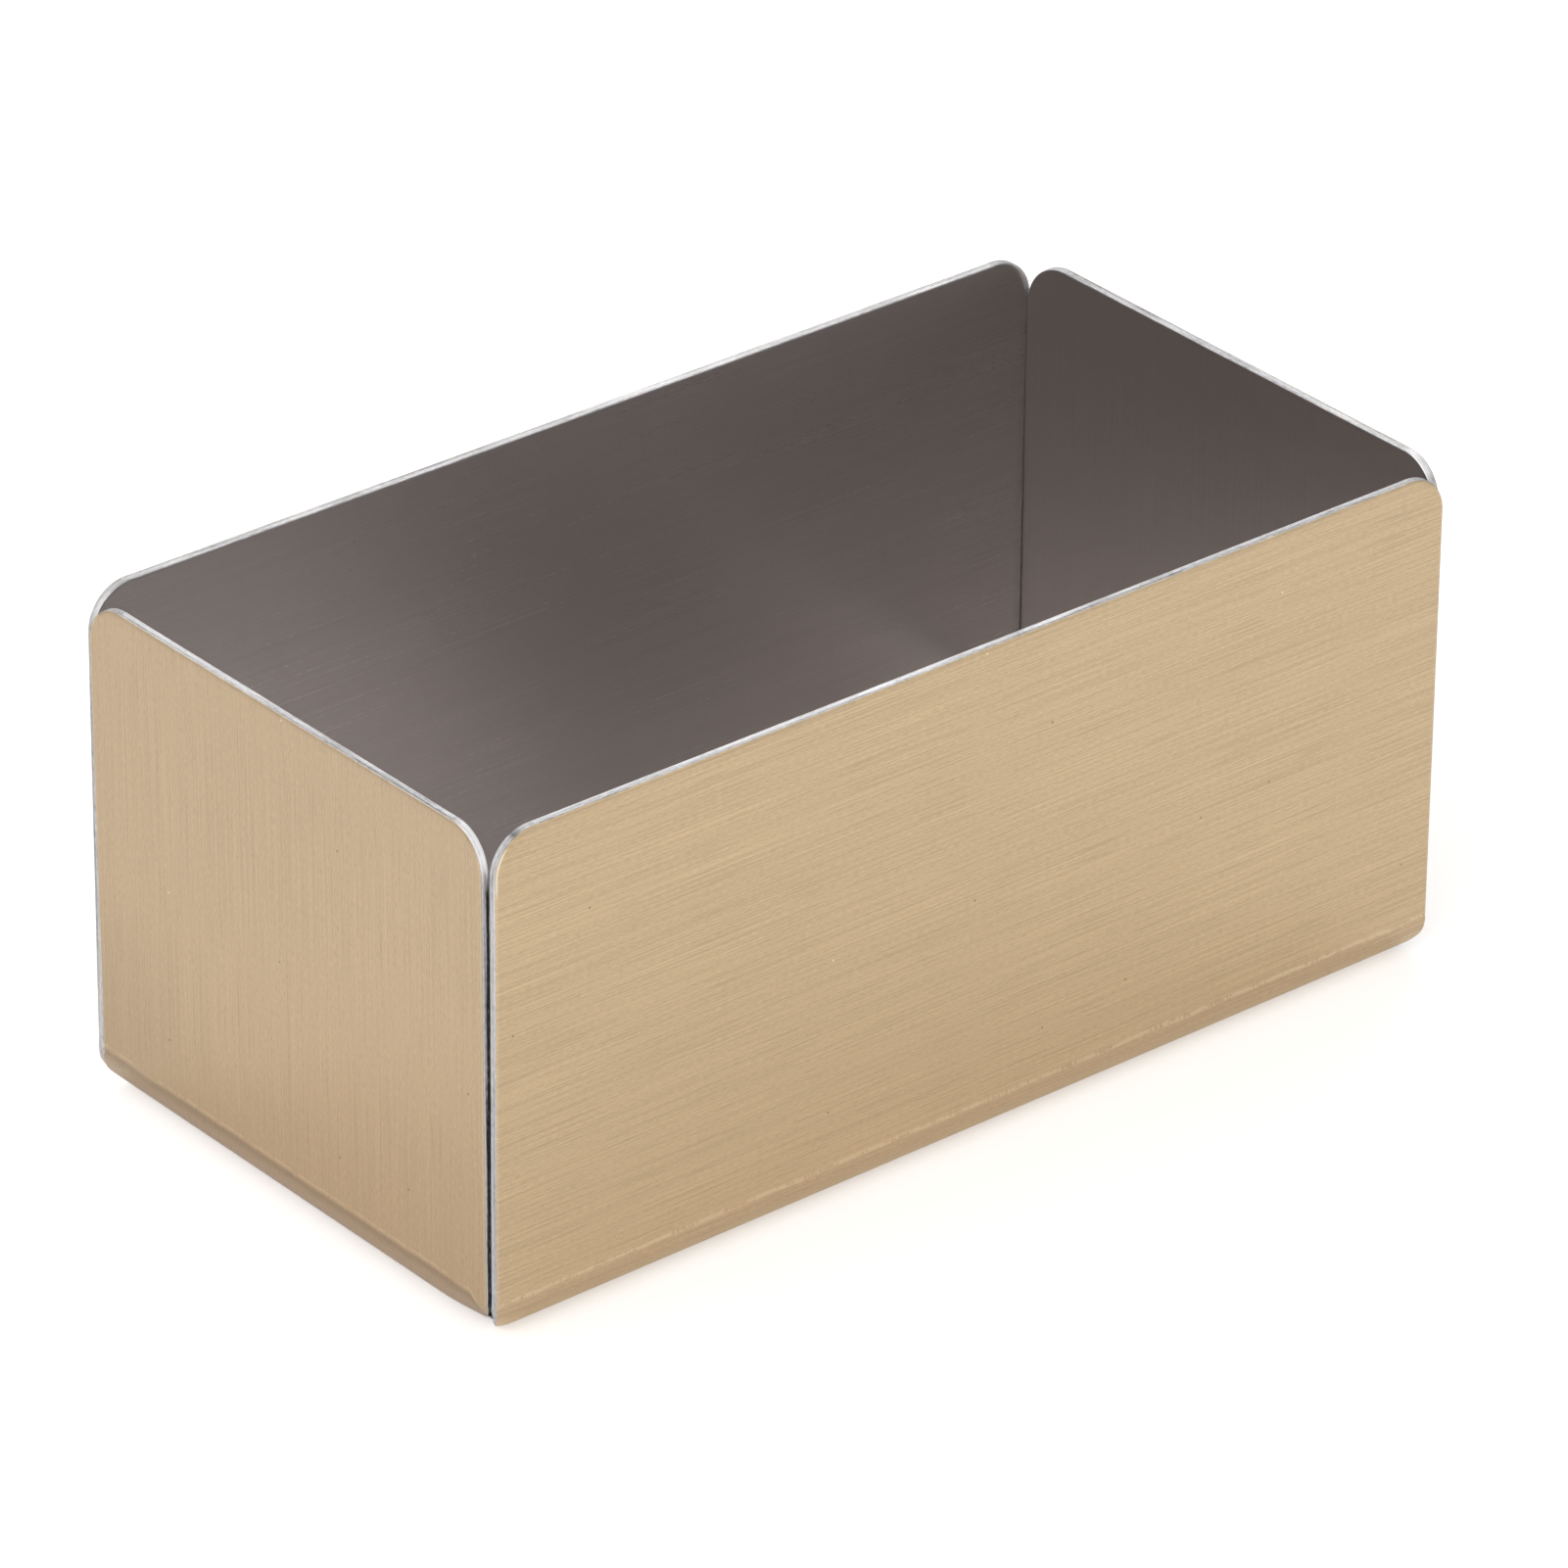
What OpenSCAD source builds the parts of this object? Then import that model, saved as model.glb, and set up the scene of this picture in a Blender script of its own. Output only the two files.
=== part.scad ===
// Open-topped table box that holds sugar packets.
// One sheet of stainless steel, brushed and coloured on its outside, is cut to a cross
// and folded up along four rounded bends. The four upright corners stay open seams.
// Length runs along X, the front wall faces -Y and the box stands on z = 0.

/* [Box] */
// Outside length, from end face to end face
box_l = 114.3; // [80:0.1:180]
// Outside width, from front face to back face
box_w = 60.4; // [40:0.1:100]
// Outside height, from the underside to the top of the walls
box_h = 52.2; // [30:0.1:90]

/* [Sheet] */
// Thickness of the sheet, with its coloured layer
sheet_t = 0.9; // [0.6:0.05:1.5]
// Thickness of the coloured layer on the outside of the sheet
colour_t = 0.05; // [0.03:0.01:0.08]
// Outside radius of the bends between floor and walls
bend_r = 4; // [2.5:0.1:8]

/* [Cut edges] */
// Radius of the top corners of the walls
corner_r = 4.2; // [2:0.1:10]
// Width of the bevel that deburring leaves along each cut edge
edge_bevel = 0.18; // [0.12:0.01:0.25]

/* [Corner seams] */
// How far a long wall stops short of the face of the end wall beside it
seam_step = 0.6; // [0.3:0.05:1.2]
// Gap between the edge of an end wall and the inner face of a long wall
seam_gap = 0.25; // [0.1:0.05:0.5]

/* [Hidden] */
$fn = 96;
steel_t = sheet_t - colour_t;
wall_h = box_h - bend_r;
// Half sizes of the box, which are also how far out each pair of walls stands
half_l = box_l / 2;
half_w = box_w / 2;
// Lengths of the walls along their faces
long_wall_l = box_l - 2 * seam_step;
end_wall_l = box_w - 2 * (sheet_t + seam_gap);
// Half of the seam gap, measured along the box where two bends meet at 45 degrees
mitre_set = seam_gap / 2 * sqrt(2);
// Allowance for cutting shapes, so that no two faces coincide
over = 1;

steel = [0.74, 0.73, 0.73];
champagne = [0.77, 0.69, 0.55];
shaded_champagne = [0.66, 0.58, 0.48];

// Places. Each flange is drawn as the front one, and then turned to its own side.
module at_back() {
    mirror([0, 1, 0]) children();
}

module at_left() {
    rotate([0, 0, -90]) children();
}

module at_right() {
    mirror([1, 0, 0]) at_left() children();
}

// Stands a flat shape up on the bends, its underside turned out to the face of the box
module stand_up(reach, depth) {
    translate([0, depth - reach, bend_r])
        rotate([90, 0, 0]) children();
}

// Outline of a wall: straight foot on the bend, sides up to two rounded top corners
module wall_outline(length, height, radius) {
    translate([-length / 2, 0]) square([length, height - radius]);
    translate([radius - length / 2, 0]) square([length - 2 * radius, height]);
    for (side = [-1, 1])
        translate([side * (length / 2 - radius), height - radius]) circle(r = radius);
}

// One bevelled step of a wall: its sides and top draw in from z = 0 up to z = depth
module bevelled_step(length, height, radius, depth) {
    side_edge = length / 2;
    core_edge = side_edge - radius;
    // Full width, below the rounded corners
    translate([0, height - radius, 0])
        rotate([90, 0, 0])
            linear_extrude(height - radius)
                polygon([[-side_edge, 0], [side_edge, 0],
                    [side_edge - depth, depth], [depth - side_edge, depth]]);
    // Full height, between the rounded corners
    translate([-core_edge, 0, 0])
        rotate([90, 0, 90])
            linear_extrude(2 * core_edge)
                polygon([[0, 0], [height, 0], [height - depth, depth], [0, depth]]);
    for (side = [-1, 1])
        translate([side * core_edge, height - radius, 0])
            cylinder(h = depth, r1 = radius, r2 = radius - depth);
}

// Steel of one wall: a plain plate with a bevelled step on its inner and outer face
module wall_steel(length, reach) {
    plain_t = steel_t - 2 * edge_bevel;
    stand_up(reach, sheet_t - edge_bevel)
        linear_extrude(plain_t) wall_outline(length, wall_h, corner_r);
    stand_up(reach, colour_t + edge_bevel)
        bevelled_step(length, wall_h, corner_r, edge_bevel);
    stand_up(reach, sheet_t - edge_bevel)
        mirror([0, 0, 1]) bevelled_step(length, wall_h, corner_r, edge_bevel);
}

// Coloured layer of one wall, which ends where the bevel of the steel begins
module wall_layer(length, reach) {
    stand_up(reach, colour_t)
        linear_extrude(colour_t)
            wall_outline(length - 2 * edge_bevel, wall_h - edge_bevel, corner_r - edge_bevel);
}

// Plan of one bend: as long as its wall, and cut at 45 degrees where two bends meet
module bend_plan(length, reach, corner, mitre) {
    foot = corner - mitre;
    intersection() {
        translate([-length / 2, -reach - over]) square([length, bend_r + 2 * over]);
        translate([0, -reach])
            polygon([[-foot, 0], [foot, 0], [foot - bend_r, bend_r], [bend_r - foot, bend_r]]);
    }
}

// Quarter ring between two radii, from the foot of the wall to the edge of the floor
module bend_ring(reach, outer_r, inner_r, corner) {
    translate([-corner, bend_r - reach, bend_r])
        rotate([0, 90, 0])
            intersection() {
                difference() {
                    cylinder(h = 2 * corner, r = outer_r);
                    translate([0, 0, -over]) cylinder(h = 2 * (corner + over), r = inner_r);
                }
                translate([0, -bend_r - over, 0]) cube([bend_r + over, bend_r + over, 2 * corner]);
            }
}

module bend_steel(length, reach, corner) {
    intersection() {
        bend_ring(reach, bend_r - colour_t, bend_r - sheet_t, corner);
        linear_extrude(bend_r) bend_plan(length, reach, corner, mitre_set);
    }
}

module bend_layer(length, reach, corner) {
    intersection() {
        bend_ring(reach, bend_r, bend_r - colour_t, corner);
        linear_extrude(bend_r)
            bend_plan(length - 2 * edge_bevel, reach, corner, mitre_set + edge_bevel);
    }
}

// Flat plate between the four bends
module floor_plate(bottom, thickness) {
    translate([bend_r - half_l, bend_r - half_w, bottom])
        cube([box_l - 2 * bend_r, box_w - 2 * bend_r, thickness]);
}

// Steel sheet, one node for each flat panel and each bend
module floor_panel() {
    color(steel) floor_plate(colour_t, steel_t);
}

module front_wall() {
    color(steel) wall_steel(long_wall_l, half_w);
}

module back_wall() {
    color(steel) at_back() wall_steel(long_wall_l, half_w);
}

module left_end_wall() {
    color(steel) at_left() wall_steel(end_wall_l, half_l);
}

module right_end_wall() {
    color(steel) at_right() wall_steel(end_wall_l, half_l);
}

module front_bend() {
    color(steel) bend_steel(long_wall_l, half_w, half_l);
}

module back_bend() {
    color(steel) at_back() bend_steel(long_wall_l, half_w, half_l);
}

module left_bend() {
    color(steel) at_left() bend_steel(end_wall_l, half_l, half_w);
}

module right_bend() {
    color(steel) at_right() bend_steel(end_wall_l, half_l, half_w);
}

// Coloured layer on the outside of each panel and bend
module floor_coloured_layer() {
    color(champagne) floor_plate(0, colour_t);
}

module front_wall_coloured_layer() {
    color(champagne) wall_layer(long_wall_l, half_w);
}

module back_wall_coloured_layer() {
    color(champagne) at_back() wall_layer(long_wall_l, half_w);
}

module left_end_wall_coloured_layer() {
    color(champagne) at_left() wall_layer(end_wall_l, half_l);
}

module right_end_wall_coloured_layer() {
    color(champagne) at_right() wall_layer(end_wall_l, half_l);
}

module front_bend_coloured_layer() {
    color(shaded_champagne) bend_layer(long_wall_l, half_w, half_l);
}

module back_bend_coloured_layer() {
    color(shaded_champagne) at_back() bend_layer(long_wall_l, half_w, half_l);
}

module left_bend_coloured_layer() {
    color(shaded_champagne) at_left() bend_layer(end_wall_l, half_l, half_w);
}

module right_bend_coloured_layer() {
    color(shaded_champagne) at_right() bend_layer(end_wall_l, half_l, half_w);
}

floor_panel();
front_wall();
back_wall();
left_end_wall();
right_end_wall();
front_bend();
back_bend();
left_bend();
right_bend();
floor_coloured_layer();
front_wall_coloured_layer();
back_wall_coloured_layer();
left_end_wall_coloured_layer();
right_end_wall_coloured_layer();
front_bend_coloured_layer();
back_bend_coloured_layer();
left_bend_coloured_layer();
right_bend_coloured_layer();
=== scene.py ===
import math

import bmesh
import bpy
from mathutils import Matrix, Vector, noise


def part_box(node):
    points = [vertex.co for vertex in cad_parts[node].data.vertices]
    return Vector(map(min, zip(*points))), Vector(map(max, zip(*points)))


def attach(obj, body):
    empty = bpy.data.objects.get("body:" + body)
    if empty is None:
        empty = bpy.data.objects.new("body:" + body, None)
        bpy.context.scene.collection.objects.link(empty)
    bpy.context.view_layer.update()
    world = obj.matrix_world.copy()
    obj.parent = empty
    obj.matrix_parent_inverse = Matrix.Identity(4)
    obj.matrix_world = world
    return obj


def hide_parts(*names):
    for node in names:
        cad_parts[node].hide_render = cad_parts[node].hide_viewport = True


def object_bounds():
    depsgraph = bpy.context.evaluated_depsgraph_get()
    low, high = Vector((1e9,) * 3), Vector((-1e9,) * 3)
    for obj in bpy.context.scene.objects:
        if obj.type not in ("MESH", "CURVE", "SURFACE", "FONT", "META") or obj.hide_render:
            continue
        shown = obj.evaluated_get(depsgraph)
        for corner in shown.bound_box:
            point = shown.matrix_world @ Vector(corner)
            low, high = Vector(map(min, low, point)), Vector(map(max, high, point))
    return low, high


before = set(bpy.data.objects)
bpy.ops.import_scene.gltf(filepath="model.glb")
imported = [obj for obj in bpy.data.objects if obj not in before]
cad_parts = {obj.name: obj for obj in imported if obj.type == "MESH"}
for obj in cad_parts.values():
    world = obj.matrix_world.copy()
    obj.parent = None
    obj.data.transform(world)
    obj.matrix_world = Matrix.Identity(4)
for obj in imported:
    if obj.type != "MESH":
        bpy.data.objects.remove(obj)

cad_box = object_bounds()

# The floor panel is the flat middle of the folded sheet, bare brushed stainless steel
# inside. Each part of the sheet is drawn as rows across a flat blank, which are then laid
# on the floor, round a bend or up a wall.
mm = 0.001
box_low, box_high = cad_box
half_length = box_high.x
half_width = box_high.y
floor_low, floor_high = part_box("floor_panel")
bend_radius = half_length - floor_high.x
sheet_depth = floor_high.z
film_depth = floor_low.z
plain_tone = 0.5
# How far in from a free edge the sheet was dressed, and the least angle that stays sharp
worked_rim = 0.5 * mm
sharp_from = math.radians(32)


def folded_strip(
    name, rows, stops, rim, end_of, place, tone_of, rise=0, grain_up=False, topped=False, film=False
):
    """A sheet of rows, its rim run up both ends, and over the top where that is a free edge.

    Stops are the places across it, as (share of the width, dip in the top edge, lean).
    """
    mesh = bmesh.new()
    grain_map = mesh.loops.layers.uv.new("grain")
    sheet_map = mesh.loops.layers.uv.new("sheet")
    toned = mesh.verts.layers.float.new("tone")
    last = len(rim) - 1
    spots = {}

    def vertex(x, s, j, edge, run):
        inset, depth = rim[j]
        made = mesh.verts.new(place(x, s, depth))
        made[toned] = tone_of(edge, run, inset, depth)
        spots[made] = (x, s - rise, run, depth)
        return made

    def lay(corners, cut=False):
        face = mesh.faces.new(corners)
        face.smooth = True
        face.material_index = 1 if cut else 0
        for loop in face.loops:
            x, s, run, depth = spots[loop.vert]
            loop[sheet_map].uv = (x, s)
            if cut and not film:
                loop[grain_map].uv = (run, depth)
            else:
                loop[grain_map].uv = (s, x) if grain_up else (x, s)

    def flat_pair(j):
        """Whether the rim runs on the outer or inner face of the sheet from point j on."""
        return rim[j][1] == rim[j + 1][1] and rim[j][1] in (rim[0][1], rim[last][1])

    ends = []
    for side in (-1, 1):
        stations = []
        for row in rows:
            station = []
            for j, (inset, depth) in enumerate(rim):
                x, s, run = end_of(row, inset, depth, side)
                station.append(vertex(side * x, s, j, side, run))
            stations.append(station)
        ends.append(stations)
    left, right = ends

    def across(row, j):
        """Vertices of one row from end to end, at rim point j."""
        inset, depth = rim[j]
        x0, s0, _ = end_of(rows[row], inset, depth, -1)
        x1, s1, _ = end_of(rows[row], inset, depth, 1)
        middle = []
        for share, dip, lean in stops:
            x = -x0 + (x0 + x1) * share + lean * depth
            middle.append(vertex(x, s0 + (s1 - s0) * share, j, None, 0))
        return [left[row][j], *middle, right[row][j]]

    def over_top(j):
        """Vertices of the free top edge, at rim point j."""
        inset, depth = rim[j]
        x0, s0, _ = end_of(rows[-1], inset, depth, -1)
        x1, s1, _ = end_of(rows[-1], inset, depth, 1)
        middle = []
        for share, dip, lean in stops:
            x = -x0 + (x0 + x1) * share + lean * depth
            drop = (1 + edge_wobble(x, 7)) * inset_play(inset) + dip * max(0, 1 - inset / worked_rim)
            middle.append(vertex(x, s0 + (s1 - s0) * share - drop, j, 0, x))
        return [left[-1][j], *middle, right[-1][j]]

    width = len(stops) + 1
    top_rows = [over_top(j) for j in range(len(rim))] if topped else None
    faces_of = {}
    for j in (0, last):
        grid = [across(row, j) for row in range(len(rows) - (1 if topped else 0))]
        if topped:
            grid.append(top_rows[j])
        faces_of[j] = grid
        for low, high in zip(grid, grid[1:]):
            for column in range(width):
                lay([low[column], low[column + 1], high[column + 1], high[column]])
    for stations in (left, right):
        for low, high in zip(stations, stations[1:]):
            for j in range(last):
                lay([low[j], low[j + 1], high[j + 1], high[j]], not flat_pair(j))
    if topped:
        for j in range(last):
            for column in range(width):
                near, far = top_rows[j], top_rows[j + 1]
                corners = [near[column], near[column + 1], far[column + 1], far[column]]
                lay(corners, not flat_pair(j))
    butts = [0] if topped else [0, -1]
    for row in butts:
        outer, inner = faces_of[0][row], faces_of[last][row]
        for column in range(width):
            lay([outer[column], outer[column + 1], inner[column + 1], inner[column]], True)
        if last > 1:
            for stations in (left, right):
                lay(list(stations[row]), True)
    bmesh.ops.recalc_face_normals(mesh, faces=mesh.faces)
    data = bpy.data.meshes.new(name)
    mesh.to_mesh(data)
    mesh.free()
    data.set_sharp_from_angle(angle=sharp_from)
    piece = bpy.data.objects.new(name, data)
    bpy.context.scene.collection.objects.link(piece)
    return piece


def edge_wobble(along, seed):
    """How unevenly a hand-dressed edge runs, from -1 to 1, at a distance along it."""
    long_wave, short_wave = 9 * mm, 2.2 * mm
    slow = noise.noise(Vector((along / long_wave, seed * 3.7, 0.5)))
    quick = noise.noise(Vector((along / short_wave, seed * 1.9, 4.5)))
    return 0.7 * slow + 0.3 * quick


def inset_play(inset):
    """How far the wobble moves a rim point: the bevel's line most, the flat sheet not at all."""
    return (0.02 * mm + 0.12 * inset) * max(0, 1 - inset / worked_rim)


def even_stops(count):
    return [(step / count, 0, 0) for step in range(1, count)]


def even_tone(edge, run, inset, depth):
    return plain_tone


def mounted(piece, node, slot_name, *materials):
    """Stands a piece in for its CAD node, which it hides, and gives it its finishes."""
    for material in materials:
        piece.data.materials.append(material)
    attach(piece, "root")
    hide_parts(node)


def drawn_noise(nodes, links, place, run, width, detail=0):
    """Noise drawn out along a map's first axis: run and width are a mark's size in metres."""
    stretch = nodes.new("ShaderNodeMapping")
    stretch.inputs["Scale"].default_value = (1 / run, 1 / width, 1)
    links.new(place, stretch.inputs["Vector"])
    texture = nodes.new("ShaderNodeTexNoise")
    texture.noise_dimensions = "2D"
    texture.inputs["Scale"].default_value = 1
    texture.inputs["Detail"].default_value = detail
    texture.inputs["Roughness"].default_value = 0.6
    links.new(stretch.outputs["Vector"], texture.inputs["Vector"])
    return texture.outputs["Fac"]


def worked(nodes, links, operation, first, second):
    """One sum of the shader maths, where either side may be a number."""
    sum_node = nodes.new("ShaderNodeMath")
    sum_node.operation = operation
    for place, value in enumerate((first, second)):
        if isinstance(value, (int, float)):
            sum_node.inputs[place].default_value = value
        else:
            links.new(value, sum_node.inputs[place])
    return sum_node.outputs[0]


def ramped(nodes, links, value, start, stop):
    """0 to 1 as a value goes from start to stop, with soft shoulders."""
    ramp = nodes.new("ShaderNodeMapRange")
    ramp.interpolation_type = "SMOOTHSTEP"
    links.new(value, ramp.inputs["Value"])
    for name, number in (("From Min", start), ("From Max", stop)):
        if isinstance(number, (int, float)):
            ramp.inputs[name].default_value = number
        else:
            links.new(number, ramp.inputs[name])
    return ramp.outputs["Result"]


def colour_mix(nodes, links, factor, first, second, blend_type="MIX"):
    """One colour on its way to another. A colour may be a socket or a plain value."""
    mix = nodes.new("ShaderNodeMix")
    mix.data_type = "RGBA"
    mix.blend_type = blend_type
    sockets = {socket.identifier: socket for socket in mix.inputs}
    links.new(factor, sockets["Factor_Float"])
    for name, colour in (("A_Color", first), ("B_Color", second)):
        if isinstance(colour, tuple):
            sockets[name].default_value = (*colour, 1)
        else:
            links.new(colour, sockets[name])
    results = {socket.identifier: socket for socket in mix.outputs}
    return results["Result_Color"]


def scaled_colour(nodes, links, colour, gain):
    """A colour made brighter or darker, where gain is a socket."""
    times = nodes.new("ShaderNodeVectorMath")
    times.operation = "SCALE"
    links.new(colour, times.inputs["Vector"])
    links.new(gain, times.inputs["Scale"])
    return times.outputs["Vector"]


def shader_group(name, colours, numbers, result):
    """A node group with its inputs and its one result, still empty, and what fills it."""
    group = bpy.data.node_groups.new(name, "ShaderNodeTree")
    face = group.interface
    for colour in colours:
        face.new_socket(colour, in_out="INPUT", socket_type="NodeSocketColor")
    for number, value in numbers.items():
        socket = face.new_socket(number, in_out="INPUT", socket_type="NodeSocketFloat")
        socket.default_value = value
    result_type = "NodeSocketColor" if result == "Color" else "NodeSocketFloat"
    face.new_socket(result, in_out="OUTPUT", socket_type=result_type)
    nodes = group.nodes
    return group, nodes, group.links, nodes.new("NodeGroupInput"), nodes.new("NodeGroupOutput")


def grain_group():
    """Brushed grain: hair lines and short scratches that run along the sheet's own grain."""
    marks = {"Hair lines": 1.0, "Fine lines": 1.0, "Scratches": 1.0, "Bands": 0.3, "Speckle": 0.3}
    scratched_from = (0.62, 0.74)
    group, nodes, links, start, stop = shader_group("brushed_grain", (), marks, "Streak")
    place = nodes.new("ShaderNodeUVMap")
    place.uv_map = "grain"

    def layer(run, width, detail, weight):
        fac = drawn_noise(nodes, links, place.outputs["UV"], run, width, detail)
        centred = worked(nodes, links, "SUBTRACT", fac, 0.5)
        return worked(nodes, links, "MULTIPLY", centred, weight)

    hair = worked(
        nodes, links, "ADD",
        layer(80 * mm, 0.22 * mm, 2, start.outputs["Hair lines"]),
        layer(22 * mm, 0.14 * mm, 1, start.outputs["Fine lines"]),
    )
    bands = layer(150 * mm, 2.6 * mm, 1, start.outputs["Bands"])
    speckle = layer(0.7 * mm, 0.12 * mm, 1, start.outputs["Speckle"])
    dark = drawn_noise(nodes, links, place.outputs["UV"], 9 * mm, 0.2 * mm, 1)
    cut = ramped(nodes, links, dark, *scratched_from)
    scratches = worked(nodes, links, "MULTIPLY", cut, start.outputs["Scratches"])
    streak = worked(nodes, links, "ADD", worked(nodes, links, "ADD", hair, bands), 0.5)
    streak = worked(nodes, links, "ADD", streak, speckle)
    streak = worked(nodes, links, "SUBTRACT", streak, scratches)
    links.new(streak, stop.inputs["Streak"])
    return group


def tone_group():
    """The mesh's own tone takes a colour darker or towards cream. Besides the random dressing of
    the edges, the tone holds painted shade and painted highlights.
    """
    cream = (0.98, 0.9, 0.72)
    group, nodes, links, start, stop = shader_group(
        "edge_tone_and_shade", ("Color",), {"Strength": 1.0}, "Color"
    )
    tone = nodes.new("ShaderNodeAttribute")
    tone.attribute_name = "tone"
    swing = worked(nodes, links, "SUBTRACT", tone.outputs["Fac"], plain_tone)
    swing = worked(nodes, links, "MULTIPLY", swing, start.outputs["Strength"])
    swing = worked(nodes, links, "MULTIPLY", swing, 2)
    gain = worked(nodes, links, "ADD", worked(nodes, links, "MINIMUM", swing, 0), 1)
    darker = scaled_colour(nodes, links, start.outputs["Color"], gain)
    paler = colour_mix(nodes, links, worked(nodes, links, "MAXIMUM", swing, 0), darker, cream)
    links.new(paler, stop.inputs["Color"])
    return group


brushed_grain = grain_group()
edge_tone_and_shade = tone_group()


def grained_metal(name, dark, light, roughness, play, depth, shares, tone_strength):
    """Brushed metal between two colours, rougher and duller in its scratches.

    Shares are how much of each mark of the grain it has, in the order of the group's inputs.
    """
    material = bpy.data.materials.new(name)
    material.use_nodes = True
    nodes, links = material.node_tree.nodes, material.node_tree.links
    shader = nodes["Principled BSDF"]
    shader.inputs["Metallic"].default_value = 1
    shader.inputs["Anisotropic"].default_value = 0.6
    shader.inputs["Anisotropic Rotation"].default_value = 0.25
    along = nodes.new("ShaderNodeTangent")
    along.direction_type = "UV_MAP"
    along.uv_map = "grain"
    links.new(along.outputs["Tangent"], shader.inputs["Tangent"])
    grain = nodes.new("ShaderNodeGroup")
    grain.node_tree = brushed_grain
    grain.name = "grain"
    for socket, share in zip(grain.inputs, shares):
        socket.default_value = share
    streaked = colour_mix(nodes, links, grain.outputs["Streak"], dark, light)
    streaked.node.name = "streaked"
    toned_edges = nodes.new("ShaderNodeGroup")
    toned_edges.node_tree = edge_tone_and_shade
    toned_edges.name = "toned_edges"
    toned_edges.inputs["Strength"].default_value = tone_strength
    links.new(streaked, toned_edges.inputs["Color"])
    links.new(toned_edges.outputs["Color"], shader.inputs["Base Color"])
    rough = nodes.new("ShaderNodeMapRange")
    rough.inputs["To Min"].default_value = roughness + play
    rough.inputs["To Max"].default_value = roughness - play
    links.new(grain.outputs["Streak"], rough.inputs["Value"])
    links.new(rough.outputs["Result"], shader.inputs["Roughness"])
    bump = nodes.new("ShaderNodeBump")
    bump.inputs["Strength"].default_value = 1
    bump.inputs["Distance"].default_value = depth
    links.new(grain.outputs["Streak"], bump.inputs["Height"])
    links.new(bump.outputs["Normal"], shader.inputs["Normal"])
    return material


def bare_steel_finish(name, dark, light, shares):
    return grained_metal(name, dark, light, 0.3, 0.03, 0.0006 * mm, shares, 0.9)


def cut_edge_finish():
    """The cut face of the sheet, from nearly black where shade is painted in, through grey,
    to bright where it was dressed.
    """
    dark, light = (0.02, 0.018, 0.02), (0.92, 0.905, 0.91)
    shares = (0.35, 0.35, 0.2, 0.3, 0.45)
    material = grained_metal("cut_edge", dark, light, 0.45, 0.08, 0.008 * mm, shares, 0)
    nodes, links = material.node_tree.nodes, material.node_tree.links
    tone = nodes.new("ShaderNodeAttribute")
    tone.attribute_name = "tone"
    streak = nodes["grain"].outputs["Streak"]
    swing = worked(nodes, links, "SUBTRACT", streak, 0.5)
    shown = worked(nodes, links, "ADD", swing, tone.outputs["Fac"])
    links.new(shown, nodes["streaked"].inputs["Factor"])
    nodes["Principled BSDF"].inputs["Metallic"].default_value = 0.4
    return material


bare_steel = bare_steel_finish(
    "bare_steel", (0.55, 0.52, 0.51), (0.62, 0.587, 0.575), (0.8, 1.2, 0, 0.4, 0.5)
)
# Inside the end walls the steel is quieter, with hardly any bands in its grain, and its colours
# are a little darker and redder: a painted shade for the inside of the end walls.
bare_steel_end = bare_steel_finish(
    "bare_steel_end", (0.55, 0.51, 0.49), (0.62, 0.575, 0.555), (0.35, 0.8, 0, 0.08, 0.4)
)
cut_edge = cut_edge_finish()


def floor_end(row, inset, depth, side):
    return half_length - bend_radius - inset, row, row


def flat_on_floor(x, s, depth):
    return Vector((x, s, depth))


floor_reach = half_width - bend_radius
floor_columns = 48
floor_rows = [floor_reach * (step / 12 - 1) for step in range(25)]
floor_panel = folded_strip(
    "floor_panel_steel",
    floor_rows,
    even_stops(floor_columns),
    [(0, film_depth), (0, sheet_depth)],
    floor_end,
    flat_on_floor,
    even_tone,
)
mounted(floor_panel, "floor_panel", "bare_steel", bare_steel, cut_edge)

# The four bends carry the sheet round from the floor to the walls. They are pressed over
# a rounded bar, and are cut back where two of them meet at a corner of the box.
sides = {
    "front": (Vector((1, 0, 0)), half_width, half_length),
    "back": (Vector((-1, 0, 0)), half_width, half_length),
    "left": (Vector((0, -1, 0)), half_length, half_width),
    "right": (Vector((0, 1, 0)), half_length, half_width),
}
wall_nodes = {
    "front": "front_wall",
    "back": "back_wall",
    "left": "left_end_wall",
    "right": "right_end_wall",
}
end_sides = ("left", "right")
wall_columns = 112
bend_rows = 28
bend_rise = bend_radius * math.pi / 2
mitre_set = 0.18 * mm
# From the outer face to the inner one: rolled outer arris, cut face, broken inner arris.
# Each pair is the inset from the cut edge and the depth from the outer face.
steel_rim = [
    (1.2 * mm, film_depth),
    (0.5 * mm, film_depth),
    (0.2 * mm, film_depth + 0.004 * mm),
    (0.1 * mm, film_depth + 0.016 * mm),
    (0.05 * mm, film_depth + 0.035 * mm),
    (0.02 * mm, film_depth + 0.06 * mm),
    (0, film_depth + 0.1 * mm),
    (0, 0.25 * mm),
    (0, 0.36 * mm),
    (0, 0.47 * mm),
    (0, 0.58 * mm),
    (0, 0.69 * mm),
    (0, sheet_depth - 0.11 * mm),
    (0.015 * mm, sheet_depth - 0.06 * mm),
    (0.05 * mm, sheet_depth - 0.02 * mm),
    (0.1 * mm, sheet_depth),
    (0.35 * mm, sheet_depth),
    (0.6 * mm, sheet_depth),
]
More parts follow.
